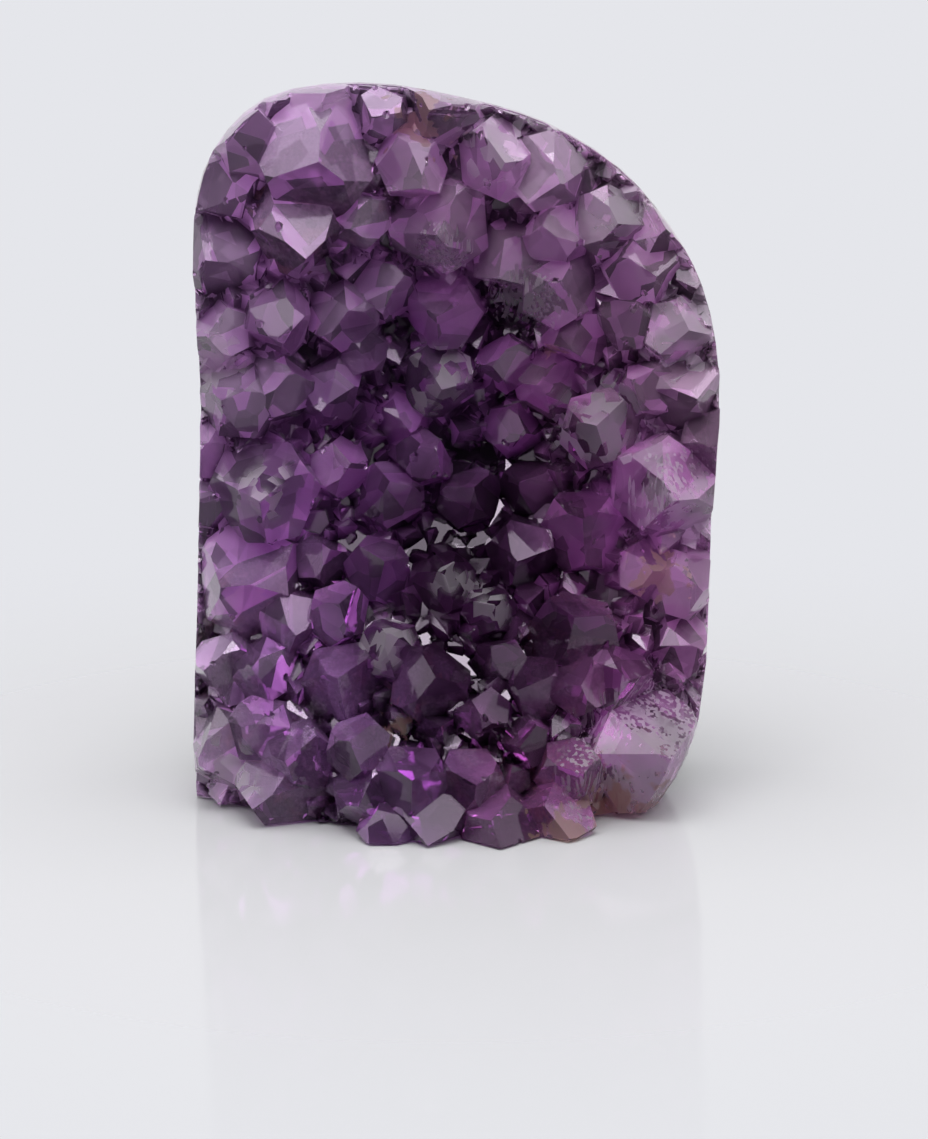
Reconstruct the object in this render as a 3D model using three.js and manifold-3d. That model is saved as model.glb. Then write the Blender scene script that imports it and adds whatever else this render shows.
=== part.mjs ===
// Amethyst geode on a sawn base: a piece of the wall of an amethyst-lined cavity, sawn flat underneath and
// polished round its sides, so that it stands with its crystal face to the front. The rock and the crystals
// are one solid each. Millimetres, +Z up, the crystal face towards -Y, the origin under the middle of the
// piece on the sawn base.

import * as THREE from "three";
import { ConvexGeometry } from "three/addons/geometries/ConvexGeometry.js";
import { LoftGeometry } from "three/addons/geometries/LoftGeometry.js";
import { ImprovedNoise } from "three/addons/math/ImprovedNoise.js";
import { mergeVertices } from "three/addons/utils/BufferGeometryUtils.js";
import Module from "manifold-3d";

// Driving dimensions

// The polished side as an outline seen from the front, x to the right and z up, from the foot of the left
// side over the top. It runs on below the saw cut at z = 0, so that the cut leaves a sharp foot.
const OUTLINE = [
  [-36.8, 0],
  [-36.4, 26],
  [-35.3, 56],
  [-35.7, 82],
  [-33, 91],
  [-26, 97.8],
  [-13, 100],
  [1.4, 97.9],
  [12.3, 94.7],
  [22.4, 88.6],
  [29.8, 80.4],
  [34.3, 72.2],
  [36.8, 60],
  [36, 39],
  [34.6, 11],
  [29.5, 0],
  [16, -11],
  [-8, -14],
  [-33, -11],
];
const OUTLINE_STEPS = 3; // flats of the polished side between two points of the outline
const OUTLINE_CENTRE = { x: 0, z: 46 };

// The crystal face: the cavity's dip in it, how it swells forwards at its foot, and its sections from its
// middle past its edge, as shares of the outline
const HOLLOW = { x: 1, z: 55, halfWidth: 32, halfHeight: 40, depth: 11, rounding: 1.5 };
const LIP = { reach: 20, halfWidth: 38, height: 29 };
const FACE_SHARES = [0, 0.25, 0.45, 0.65, 0.85, 1.02, 1.15];
const CRUST_DEPTH = 9; // from the rock to the heads of the crystals
const BED_DEPTH = 5.2; // the grown-together roots under the crystals
const ROCK_GAP = 0.3; // between the crust and the rock
const FLOOR_GAP = 0.4; // from the crust's sawn foot up from the floor

// The polished side's gentle bulge: the depth where it is widest, its taper to either side, and its sections
const SIDE = { widest: 5, frontTaper: 0.00024, backTaper: 0.0003 };
const SIDE_DEPTHS = [-40, -26, -16, -9, -4, 1, 6, 11, 18];
// The natural back: a low dome, its highest point, its fall to the side and its lean to the top, and the
// least that it stands behind the rim
const BACK = { highest: 27, x: -2, z: 42, halfWidth: 44, halfHeight: 68, fall: 12, lean: 0.03, least: 12 };
const BACK_CELL = 6; // the flats of the natural back
// The back's lumps and broken surface, each with its size and depth, and the pits where flakes broke away
const LUMPS = { size: 19, depth: 3.4 };
const BREAKS = { size: 8, depth: 1.3 };
const PITS = { seed: 5, count: 9, radius: [4, 8], long: [1, 1.7], depth: [1, 2], x: [-30, 30], z: [6, 94] };
const BEYOND = 200; // well past the piece, for the far sides of what it is cut with

// Quartz: the rhombohedron faces that end a crystal lean at this angle to its base
const RHOMB_ANGLE = THREE.MathUtils.degToRad(51.8);
// A crystal, in shares of its width: how far its end faces stand off, how many times as far its three large
// ones and its three small ones do, how far its sides stand off, and how far its root goes below the crust
const HEAD = { lift: [0.19, 0.29], large: [0.88, 1.12], small: [1.2, 1.9], slim: [0.9, 1.08], root: 0.25 };
// How far the crystals follow the slope of the face: 0 is straight to the front, 1 square to the face
const FOLLOW = 0.45;

// The crystals that stand out on the face, placed by hand: the middle of the head as x and z, the width
// across, how far the head stands proud of the face, its lean to the right and upwards in degrees, and its
// turn about its axis.
const LEADING_CRYSTALS = [
  [-18.5, 90, 15, 1, 8, 0, 30],
  [-33, 77, 11, -1, -10, 0, 40],
  [-21, 78.5, 11, 1, 5, -20, 102],
  [-5.2, 88, 9, 1, 10, -15, 40],
  [-2, 80.5, 13, 1, -8, 4, 118],
  [6.5, 90, 11, 0, 5, 10, 68],
  [13, 88, 10.5, 0, 15, 0, 55],
  [-2, 68, 10.5, 1.5, -12, 6, 78],
  [-32.5, 66, 8, -1, -15, 5, 109],
  [-15, 68.5, 9.5, 1, 0, 15, 65],
  [-31, 57, 10, 0, -15, 10, 75],
  [14.5, 72.5, 10.5, 1, 10, 18, 121],
  [22, 81.5, 10, 0, 15, 5, 62],
  [26.5, 74.5, 9, 0, 20, 0, 99],
  [31, 66.5, 9, -1, 20, 5, 62],
  [32.5, 58, 10, -1, 15, 0, 110],
  [20, 53, 10.5, 2.5, 5, 10, 100],
  [29.5, 44.5, 13.5, 1, 12, -6, 60],
  [12.5, 58, 9, 1, -5, 5, 106],
  [18, 39, 11, 1, 5, 12, 90],
  [-2, 58, 10, 1.5, 0, -5, 68],
  [-26.5, 44, 14, 1.5, -8, 0, 96],
  [-30, 32, 15, 1, -14, 4, 48],
  [-15.5, 47, 8, 1, 10, 10, 78],
  [-9, 43.5, 9, 1.5, -5, 20, 62],
  [-10.5, 33.5, 9, 1, 5, 5, 87],
  [-1.5, 32, 9, 1.5, 0, 10, 112],
  [-9, 24.5, 8, 2, -10, 15, 71],
  [-15.5, 20, 11, 1, 0, 5, 93],
  [-3, 20, 10, 1, 10, 0, 59],
  [5, 28.5, 7, 1.5, 5, 5, 102],
  [16.5, 26, 12, 1, 0, 12, 74],
  [17, 19.5, 8, 2, -5, 5, 118],
  [23, 19.5, 9, 1, 8, 0, 84],
  [27.5, 9, 17, 1, 12, 4, 118],
  [-13.5, 12.5, 8.5, 2.5, -5, 15, 99],
  [-32.5, 19.5, 10, 0, -15, 0, 81],
  [-27, 20.5, 9, 1, -5, 8, 109],
  [-27.5, 12.5, 9, 1, -8, 10, 62],
  [-22, 9.5, 10, 1.5, -5, 5, 90],
  [-25, 3.5, 13, 1, -12, -8, 71],
  [-33, 8, 11, 0, -15, -5, 106],
  [-6, 8, 10, 1.5, 4, 8, 87],
  [-12, 5, 10, 1, -8, -5, 115],
  [-3.5, 1, 11, 1, 2, -12, 78],
  [-9.5, -0.5, 8, 3, -4, -22, 65],
  [2.5, 8, 9, 1, 6, 4, 96],
  [6.5, -0.5, 11, 1.5, 5, -14, 59],
  [16.5, 8, 9, 1, 5, 6, 112],
  [14.5, 1, 10, 0.5, 8, -8, 84],
  [27, 33.5, 8, 0, 10, 5, 68],
  [32.5, 31, 9, 0, 15, 0, 93],
  [33, 22.5, 8.5, 0, 18, 4, 121],
];
// The crystals between them: widths across from large to small, how close heads may crowd and how they vary
const FILL = {
  seed: 7,
  widths: [8.5, 7],
  spread: [0.9, 1.15],
  tries: 700,
  crowding: 0.4,
  lowest: -5,
  proud: [-1.5, 1.8],
  lean: [-28, 28],
  turn: [52, 128],
};

// Materials

const ROCK = new THREE.MeshStandardMaterial({ color: 0x6f6a66, roughness: 0.75, metalness: 0 });
const AMETHYST = new THREE.MeshStandardMaterial({ color: 0x6a3f78, roughness: 0.08, metalness: 0 });

const wasm = await Module();
wasm.setup();
const noise = new ImprovedNoise();

// Helpers

/** A repeatable random number generator: numbers from 0 to 1. */
function randomFrom(seed) {
  let state = seed >>> 0;
  return () => {
    state = (Math.imul(state, 1664525) + 1013904223) >>> 0;
    return state / 2 ** 32;
  };
}

/** A closed three.js geometry as a manifold-3d solid. */
function solidOf(geometry) {
  const bare = new THREE.BufferGeometry()
    .setIndex(geometry.index)
    .setAttribute("position", geometry.getAttribute("position"));
  const merged = mergeVertices(bare, 1e-4);
  const corners = [];
  for (let i = 0; i < merged.index.count; i += 3) {
    const [a, b, c] = merged.index.array.subarray(i, i + 3);
    // The triangles at a loft's closed ends have no area
    if (a !== b && b !== c && c !== a) corners.push(a, b, c);
  }
  const vertProperties = merged.getAttribute("position").array;
  const triVerts = new Uint32Array(corners);
  return new wasm.Manifold(new wasm.Mesh({ numProp: 3, vertProperties, triVerts }));
}

/** A manifold-3d solid as a named three.js mesh. */
function meshOf(solid, name, material) {
  const { vertProperties, triVerts } = solid.getMesh();
  const geometry = new THREE.BufferGeometry()
    .setAttribute("position", new THREE.BufferAttribute(vertProperties, 3))
    .setIndex(new THREE.BufferAttribute(triVerts, 1));
  geometry.computeVertexNormals();
  const mesh = new THREE.Mesh(geometry, material);
  mesh.name = name;
  return mesh;
}

/** A random number between two. */
function between([low, high], random) {
  return THREE.MathUtils.lerp(low, high, random());
}

/** The half space above a level, as a box larger than the piece. */
function above(level) {
  return solidOf(new THREE.BoxGeometry(BEYOND, BEYOND, BEYOND).translate(0, 0, level + BEYOND / 2));
}

// The face and the side, as formulas

const outlinePoints = OUTLINE.map(([x, z]) => new THREE.Vector3(x, 0, z));
const outline = new THREE.CatmullRomCurve3(outlinePoints, true)
  .getPoints(OUTLINE_STEPS * OUTLINE.length)
  .slice(0, -1);

/** How deep the heads of the crystals lie at a place on the face: y, which grows towards the back. */
function faceDepth(x, z) {
  const away = ((x - HOLLOW.x) / HOLLOW.halfWidth) ** 2 + ((z - HOLLOW.z) / HOLLOW.halfHeight) ** 2;
  const hollow = HOLLOW.depth * Math.max(0, 1 - away) ** HOLLOW.rounding;
  const arch = Math.max(0, 1 - (x / LIP.halfWidth) ** 2);
  const lip = LIP.reach * arch * Math.exp(-((Math.max(0, z) / LIP.height) ** 2));
  return hollow - lip;
}

/** The way the crystals grow out of the face at a place on it: to the front, and some way along its normal. */
function growthAxis(x, z) {
  const step = 0.5;
  const slopeX = (faceDepth(x + step, z) - faceDepth(x - step, z)) / (2 * step);
  const slopeZ = (faceDepth(x, z + step) - faceDepth(x, z - step)) / (2 * step);
  return new THREE.Vector3(FOLLOW * slopeX, -1, FOLLOW * slopeZ).normalize();
}

/** The polished side's size at a depth, as a share of the outline. */
function sideScale(y) {
  const taper = y < SIDE.widest ? SIDE.frontTaper : SIDE.backTaper;
  return 1 - taper * (y - SIDE.widest) ** 2;
}

/** One section of a loft: a ring drawn in to a share of its size, with each point at its own depth. */
function section(ring, share, depthOf) {
  return ring.map((point) => {
    const x = OUTLINE_CENTRE.x + (point.x - OUTLINE_CENTRE.x) * share;
    const z = OUTLINE_CENTRE.z + (point.z - OUTLINE_CENTRE.z) * share;
    return new THREE.Vector3(x, depthOf(x, z), z);
  });
}

/** How deep the natural back lies behind a place on the face. */
function backDepth(x, z) {
  const away = ((x - BACK.x) / BACK.halfWidth) ** 2 + ((z - BACK.z) / BACK.halfHeight) ** 2;
  const smooth = BACK.highest - BACK.fall * away - BACK.lean * (z - BACK.z);
  const [lump, broken] = [LUMPS, BREAKS].map(
    ({ size, depth }) => depth * noise.noise(x / size, size, z / size),
  );
  return Math.max(BACK.least, smooth + lump + broken);
}

/** All that lies in front of the natural back, with its lumps and pits. */
function beforeBack() {
  const cells = BEYOND / BACK_CELL;
  const slab = new THREE.BoxGeometry(BEYOND, BEYOND, BEYOND, cells, 1, cells);
  const points = slab.getAttribute("position");
  for (let i = 0; i < points.count; i++) {
    if (points.getY(i) > 0) points.setY(i, backDepth(points.getX(i), points.getZ(i)));
  }
  const random = randomFrom(PITS.seed);
  const pits = Array.from({ length: PITS.count }, () => {
    const radius = between(PITS.radius, random);
    const x = between(PITS.x, random);
    const z = between(PITS.z, random);
    const hollow = new THREE.IcosahedronGeometry(radius, 1)
      .scale(between(PITS.long, random), 1, 1)
      .rotateY(Math.PI * random())
      .translate(x, backDepth(x, z) + radius - between(PITS.depth, random), z);
    return solidOf(hollow);
  });
  return pits.reduce((solid, pit) => solid.subtract(pit), solidOf(slab));
}

/** The whole piece as ground, with its front still open: the polished side and the natural back. */
function blank() {
  const front = section(outline, 0, () => SIDE_DEPTHS[0]);
  const side = SIDE_DEPTHS.map((y) => section(outline, sideScale(y), () => y));
  const farShares = [sideScale(SIDE_DEPTHS.at(-1)), 0];
  const far = farShares.map((share) => section(outline, share, () => BEYOND / 2));
  return solidOf(new LoftGeometry([front, ...side, ...far])).intersect(beforeBack());
}

/** All that lies behind the face at a distance from it, as a solid that reaches past the piece. */
function behindFace(distance) {
  const front = FACE_SHARES.map((share) =>
    section(outlinePoints, share, (x, z) => faceDepth(x, z) + distance),
  );
  const far = [FACE_SHARES.at(-1), 0].map((share) => section(outlinePoints, share, () => BEYOND / 2));
  return solidOf(new LoftGeometry([...front, ...far]));
}

/** The rock: dished at the front for the crust, polished round its side, natural at the back, sawn below. */
function rock() {
  return blank().intersect(behindFace(CRUST_DEPTH)).intersect(above(0));
}

// The crystals

/** The corners of the convex body inside a set of planes, each a normal and a distance from the origin. */
function cornersInside(planes) {
  const corners = [];
  for (let a = 0; a < planes.length; a++) {
    for (let b = a + 1; b < planes.length; b++) {
      for (let c = b + 1; c < planes.length; c++) {
        const [p, q, r] = [planes[a], planes[b], planes[c]];
        const qr = new THREE.Vector3().crossVectors(q.normal, r.normal);
        const volume = p.normal.dot(qr);
        if (Math.abs(volume) < 1e-6) continue;
        const corner = qr
          .multiplyScalar(p.distance)
          .addScaledVector(new THREE.Vector3().crossVectors(r.normal, p.normal), q.distance)
          .addScaledVector(new THREE.Vector3().crossVectors(p.normal, q.normal), r.distance)
          .divideScalar(volume);
        const inside = planes.every((plane) => plane.normal.dot(corner) < plane.distance + 1e-6);
        if (inside && !corners.some((other) => other.distanceTo(corner) < 1e-3)) corners.push(corner);
      }
    }
  }
  return corners;
}

/** A quartz crystal along +Z with the middle of its head at the origin: a six-sided prism ended by six faces,
 * three large and three small in turn. */
function crystal(width, length, random) {
  const lift = width * between(HEAD.lift, random);
  const planes = [{ normal: new THREE.Vector3(0, 0, -1), distance: length }];
  for (let side = 0; side < 6; side++) {
    const angle = (side * Math.PI) / 3;
    const outwards = new THREE.Vector3(Math.cos(angle), Math.sin(angle), 0);
    planes.push({ normal: outwards, distance: (width / 2) * between(HEAD.slim, random) });
    const normal = outwards.clone().multiplyScalar(Math.sin(RHOMB_ANGLE)).setZ(Math.cos(RHOMB_ANGLE));
    planes.push({ normal, distance: lift * between(side % 2 ? HEAD.small : HEAD.large, random) });
  }
  return new ConvexGeometry(cornersInside(planes));
}

/** A crystal set on the face: leaning from the growth axis and turned about its own. */
function crystalOnFace([x, z, width, proud, leanRight, leanUp, turn], random) {
  const axis = growthAxis(x, z);
  axis.applyAxisAngle(new THREE.Vector3(0, 0, 1), THREE.MathUtils.degToRad(leanRight));
  axis.applyAxisAngle(new THREE.Vector3(1, 0, 0), THREE.MathUtils.degToRad(-leanUp));
  const place = new THREE.Matrix4()
    .makeTranslation(x, faceDepth(x, z) - proud, z)
    .multiply(
      new THREE.Matrix4().makeRotationFromQuaternion(
        new THREE.Quaternion().setFromUnitVectors(new THREE.Vector3(0, 0, 1), axis),
      ),
    )
    .multiply(new THREE.Matrix4().makeRotationZ(THREE.MathUtils.degToRad(turn)));
  return solidOf(crystal(width, CRUST_DEPTH + HEAD.root * width, random).applyMatrix4(place));
}

/** Whether a place on the face is inside the outline. */
function insideOutline(x, z) {
  const crossings = outline.filter((point, i) => {
    const next = outline[(i + 1) % outline.length];
    const share = (z - point.z) / (next.z - point.z);
    return point.z > z !== next.z > z && x < THREE.MathUtils.lerp(point.x, next.x, share);
  });
  return crossings.length % 2 === 1;
}

/** The places of the crystals between the leading ones, thrown at random from large to small. */
function fillingCrystals(random) {
  const placed = [...LEADING_CRYSTALS];
  const { min, max } = new THREE.Box3().setFromPoints(outline);
  for (const width of FILL.widths) {
    for (let attempt = 0; attempt < FILL.tries; attempt++) {
      const x = between([min.x, max.x], random);
      const z = between([FILL.lowest, max.z], random);
      const crowded = placed.some(
        ([otherX, otherZ, other]) => Math.hypot(otherX - x, otherZ - z) < FILL.crowding * (other + width),
      );
      if (crowded || !insideOutline(x, z)) continue;
      const varied = [FILL.proud, FILL.lean, FILL.lean, FILL.turn].map((range) => between(range, random));
      placed.push([x, z, width * between(FILL.spread, random), ...varied]);
    }
  }
  return placed.slice(LEADING_CRYSTALS.length);
}

/** The crust: every crystal grown together on a bed of roots, ground flush with the polished side. */
function crust() {
  const random = randomFrom(FILL.seed);
  const places = [...LEADING_CRYSTALS, ...fillingCrystals(random)];
  const roots = behindFace(CRUST_DEPTH - BED_DEPTH);
  return places
    .reduce((grown, place) => grown.add(crystalOnFace(place, random)), roots)
    .intersect(blank())
    .intersect(above(FLOOR_GAP))
    .subtract(behindFace(CRUST_DEPTH - ROCK_GAP));
}

const specimen = new THREE.Group();
specimen.add(meshOf(rock(), "rock_matrix", ROCK));
specimen.add(meshOf(crust(), "amethyst_crust", AMETHYST));

// The origin goes under the middle of the piece
const middle = new THREE.Box3().setFromObject(specimen).getCenter(new THREE.Vector3());
specimen.position.set(-middle.x, -middle.y, 0);
const geode = new THREE.Group();
geode.add(specimen);

export default geode;
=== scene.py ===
"""Dresses the amethyst geode: its crystal crust, the rock behind it, and the studio that it stands in.

Metres, +Z up, the crystal face towards -Y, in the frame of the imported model.
"""

import logging
import math
import random
from collections.abc import Callable
from dataclasses import dataclass
from enum import Enum

import bmesh
import bpy
import numpy as np
from mathutils import Euler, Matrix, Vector


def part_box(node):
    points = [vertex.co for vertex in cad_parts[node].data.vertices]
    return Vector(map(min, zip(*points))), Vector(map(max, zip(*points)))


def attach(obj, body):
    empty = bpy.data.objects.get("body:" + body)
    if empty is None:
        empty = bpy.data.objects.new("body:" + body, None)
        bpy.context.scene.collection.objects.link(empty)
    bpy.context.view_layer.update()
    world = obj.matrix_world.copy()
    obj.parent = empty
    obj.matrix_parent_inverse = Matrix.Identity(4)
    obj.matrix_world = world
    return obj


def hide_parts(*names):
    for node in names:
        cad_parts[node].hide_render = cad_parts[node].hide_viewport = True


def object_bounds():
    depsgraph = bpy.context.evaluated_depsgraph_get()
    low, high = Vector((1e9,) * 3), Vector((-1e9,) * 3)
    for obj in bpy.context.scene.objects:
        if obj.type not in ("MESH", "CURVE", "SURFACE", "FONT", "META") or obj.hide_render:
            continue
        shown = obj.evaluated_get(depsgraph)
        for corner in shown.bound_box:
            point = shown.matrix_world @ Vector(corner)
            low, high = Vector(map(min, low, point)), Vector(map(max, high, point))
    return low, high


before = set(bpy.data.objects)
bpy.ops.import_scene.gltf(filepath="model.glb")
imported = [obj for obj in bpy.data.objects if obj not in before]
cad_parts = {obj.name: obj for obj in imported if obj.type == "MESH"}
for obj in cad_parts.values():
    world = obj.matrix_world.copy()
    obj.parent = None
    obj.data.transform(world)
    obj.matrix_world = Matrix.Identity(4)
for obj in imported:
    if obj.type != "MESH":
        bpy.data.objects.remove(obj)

log = logging.getLogger("geode")
CAD_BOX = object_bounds()
FACET = "facet"
SUNK = "sunk"
NATURAL = "natural"
BED = "bed"
BAND = "band"

Colour = tuple[float, float, float]
Place = tuple[float, float, float]
Span = tuple[float, float]
Mesh = bpy.types.Mesh
Piece = bpy.types.Object
Socket = bpy.types.NodeSocket
Material = bpy.types.Material
Inputs = dict[str | int, object]
SOCKET_KINDS = {
    float: "NodeSocketFloat",
    int: "NodeSocketInt",
    tuple: "NodeSocketVector",
    Piece: "NodeSocketObject",
    Material: "NodeSocketMaterial",
}


def srgb(red: int, green: int, blue: int) -> Colour:
    """Turns a colour as seen on a screen, 0 to 255, into scene-linear values.

    Args:
        red: The red share.
        green: The green share.
        blue: The blue share.

    Returns:
        The scene-linear colour.
    """
    def linear(share: int) -> float:
        """Takes one channel out of the screen's curve."""
        value = share / 255
        return value / 12.92 if value <= 0.04045 else ((value + 0.055) / 1.055) ** 2.4

    return linear(red), linear(green), linear(blue)


class Body(Enum):
    """The bodies of the frame that pieces ride on."""

    ROOT = "root"


@dataclass(frozen=True)
class PhotoCamera:
    """The camera, at the photograph's viewing angle."""

    distance: float = 0.420
    height: float = 0.125
    across: float = 0.0015
    pitch: float = 12.4
    lens: float = 97.0
    sensor: float = 36.0

    def build(self) -> Piece:
        """Makes the camera and looks through it.

        Returns:
            The camera.
        """
        data = bpy.data.cameras.new("photo_camera")
        data.lens = self.lens
        data.sensor_width = self.sensor
        camera = new_piece("photo_camera", data)
        camera.location = (self.across, -self.distance, self.height)
        camera.rotation_euler = Euler((math.radians(90 - self.pitch), 0, 0))
        bpy.context.scene.camera = camera
        return camera


@dataclass(frozen=True)
class SoftBox:
    """One large soft light: its middle, its size, the point it faces and its brightness."""

    name: str
    place: Place
    width: float
    height: float
    radiance: float
    colour: Colour = (1.0, 1.0, 1.0)
    aim: Place = (0.0, 0.0, 0.05)

    def build(self) -> Piece:
        """Makes the light.

        Returns:
            The light.
        """
        data = bpy.data.lights.new(self.name, "AREA")
        data.shape = "RECTANGLE"
        data.size = self.width
        data.size_y = self.height
        data.color = self.colour
        data.energy = self.radiance * math.pi * self.width * self.height
        light = new_piece(self.name, data)
        light.location = self.place
        facing = Vector(self.aim) - Vector(self.place)
        light.rotation_euler = facing.to_track_quat("-Z", "Y").to_euler()
        light.visible_camera = False
        return light


class Draw(Enum):
    """What a random draw gives, with the places of its least value and of its result on the node."""

    FLOAT_VECTOR = (0, 0)
    FLOAT = (2, 1)
    INT = (4, 2)


class TreeMaker:
    """Adds nodes to one node tree and joins them."""

    def __init__(self, tree: bpy.types.NodeTree) -> None:
        """Keeps the shader, world or geometry tree that is worked on."""
        self.tree = tree

    def feed(self, socket: Socket, value: object) -> None:
        """Gives an input its value, or joins it to other nodes.

        Args:
            socket: The input.
            value: A plain value, the output of another node, or a list of such outputs.
        """
        for given in value if isinstance(value, list) else [value]:
            if isinstance(given, Socket):
                self.tree.links.new(given, socket)
            else:
                socket.default_value = given

    def add(self, kind: str, inputs: Inputs | None = None, **options: object) -> bpy.types.Node:
        """Adds one node.

        Args:
            kind: The node's type.
            inputs: Values or sockets for its inputs, by name or place.
            **options: The node's own settings.

        Returns:
            The node.
        """
        node = self.tree.nodes.new(kind)
        for name, option in options.items():
            setattr(node, name, option)
        for name, value in (inputs or {}).items():
            self.feed(node.inputs[name], value)
        return node

    def sum(self, operation: str, first: object, second: object) -> Socket:
        """Works out one sum of two values or sockets, as the Math node names it."""
        return self.add("ShaderNodeMath", {0: first, 1: second}, operation=operation).outputs[0]

    def vector(self, operation: str, first: object, second: object = None) -> Socket:
        """Works out one sum of vectors.

        Args:
            operation: The sum, as the Vector Math node names it.
            first: The first vector or socket.
            second: The second one, or the number to scale by, if the sum has one.

        Returns:
            The vector, or the number that is a length or a distance.
        """
        node = self.add("ShaderNodeVectorMath", {0: first}, operation=operation)
        if second is not None:
            self.feed(node.inputs["Scale" if operation == "SCALE" else 1], second)
        return node.outputs["Value" if operation in ("LENGTH", "DISTANCE") else "Vector"]

    def triple(self, first: object, second: object, third: object) -> Socket:
        """Makes a vector of three values or sockets."""
        return self.add("ShaderNodeCombineXYZ", {0: first, 1: second, 2: third}).outputs[0]

    def own(self, name: str) -> Socket:
        """Reads an attribute of the piece's own mesh in a material."""
        return self.add("ShaderNodeAttribute", attribute_name=name).outputs["Fac"]

    def draw(self, kind: Draw, least: object, most: object, seed: object) -> Socket:
        """Draws a value at random for each point.

        Args:
            kind: What is drawn.
            least: The least value or socket.
            most: The most.
            seed: The seed.

        Returns:
            The drawn value.
        """
        low, result = kind.value
        span = {low: least, low + 1: most, "Seed": seed}
        return self.add("FunctionNodeRandomValue", span, data_type=kind.name).outputs[result]

    def joined(self, operation: str, shapes: list[Socket]) -> Socket:
        """Unites or intersects closed shapes, as the Mesh Boolean node names it."""
        given = {"Mesh 2": shapes}
        return self.add("GeometryNodeMeshBoolean", given, operation=operation, solver="MANIFOLD").outputs[0]

    def dressed(self, shape: Socket, material: Socket) -> Socket:
        """Makes the instances in a shape real and gives it its material."""
        real = self.add("GeometryNodeRealizeInstances", {"Geometry": shape}).outputs[0]
        return self.add("GeometryNodeSetMaterial", {"Geometry": real, "Material": material}).outputs[0]

    def ramp(self, value: Socket, start: float, end: float, low: float = 0.0, high: float = 1.0) -> Socket:
        """Turns a span of values smoothly into another span.

        Args:
            value: The value.
            start: Where the change starts.
            end: Where it ends.
            low: The result at the start.
            high: The result at the end.

        Returns:
            The result, which stays between low and high.
        """
        span = {"Value": value, 1: start, 2: end, 3: low, 4: high}
        return self.add("ShaderNodeMapRange", span, interpolation_type="SMOOTHSTEP").outputs[0]

    def blend(self, share: object, first: object, second: object, kind: str = "MIX") -> Socket:
        """Blends two colours.

        Args:
            share: How much of the second one counts.
            first: The first colour or socket.
            second: The second colour or socket.
            kind: The blend, as the Mix node names it.

        Returns:
            The colour.
        """
        given = [(*colour, 1.0) if isinstance(colour, tuple) else colour for colour in (first, second)]
        colours = {0: share, 6: given[0], 7: given[1]}
        return self.add("ShaderNodeMix", colours, data_type="RGBA", blend_type=kind).outputs[2]

    def shaded(self, colour: Socket, shade: Socket) -> Socket:
        """Makes a colour darker or lighter: its three shares are multiplied by the shade."""
        return self.blend(1.0, colour, self.triple(shade, shade, shade), "MULTIPLY")

    def noise(self, place: Socket, scale: object, detail: float = 2.0, twist: float = 0.0) -> Socket:
        """Adds cloudy noise.

        Args:
            place: Where it is read.
            scale: Its clouds to a metre.
            detail: How many finer layers it has.
            twist: How much it is distorted.

        Returns:
            The noise, about 0.5.
        """
        form = {"Vector": place, "Scale": scale, "Detail": detail, "Distortion": twist}
        return self.add("ShaderNodeTexNoise", form).outputs["Fac"]

    def pattern(self, group: bpy.types.NodeTree, place: Socket) -> dict[str, Socket]:
        """Places a pattern's group.

        Args:
            group: The group.
            place: Where the pattern is read.

        Returns:
            The group's outputs by name.
        """
        node = self.add("ShaderNodeGroup", {"Place": place}, node_tree=group)
        return dict(node.outputs.items())


def new_pattern(name: str, *outputs: str) -> tuple[TreeMaker, Socket, bpy.types.Node]:
    """Starts a shader group that several finishes share.

    Args:
        name: The group's name.
        *outputs: The names of the values that it gives.

    Returns:
        The maker of its tree, the place that it reads and its output node.
    """
    tree = bpy.data.node_groups.new(name, "ShaderNodeTree")
    tree.interface.new_socket("Place", in_out="INPUT", socket_type="NodeSocketVector")
    for output in outputs:
        tree.interface.new_socket(output, in_out="OUTPUT", socket_type="NodeSocketFloat")
    maker = TreeMaker(tree)
    return maker, maker.add("NodeGroupInput").outputs["Place"], maker.add("NodeGroupOutput")


def new_finish(name: str) -> tuple[Material, TreeMaker, bpy.types.Node, Socket]:
    """Starts a material.

    Args:
        name: The material's name.

    Returns:
        The material, the maker of its tree, its shader and the place on the piece.
    """
    material = bpy.data.materials.new(name)
    material.use_nodes = True
    maker = TreeMaker(material.node_tree)
    place = maker.add("ShaderNodeTexCoord").outputs["Object"]
    return material, maker, material.node_tree.nodes["Principled BSDF"], place


def new_growth(name: str, values: Inputs) -> tuple[TreeMaker, dict[str, Socket]]:
    """Starts a geometry tree that takes a piece and some values, and gives a piece.

    Args:
        name: The tree's name.
        values: The values that it is given, by the names of its inputs.

    Returns:
        The maker of the tree, and what it is given by name, with the piece itself as "Piece".
    """
    tree = bpy.data.node_groups.new(name, "GeometryNodeTree")
    for way in ("INPUT", "OUTPUT"):
        tree.interface.new_socket("Piece", in_out=way, socket_type="NodeSocketGeometry")
    for label, value in values.items():
        tree.interface.new_socket(label, in_out="INPUT", socket_type=SOCKET_KINDS[type(value)])
    maker = TreeMaker(tree)
    return maker, dict(maker.add("NodeGroupInput").outputs.items())


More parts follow.
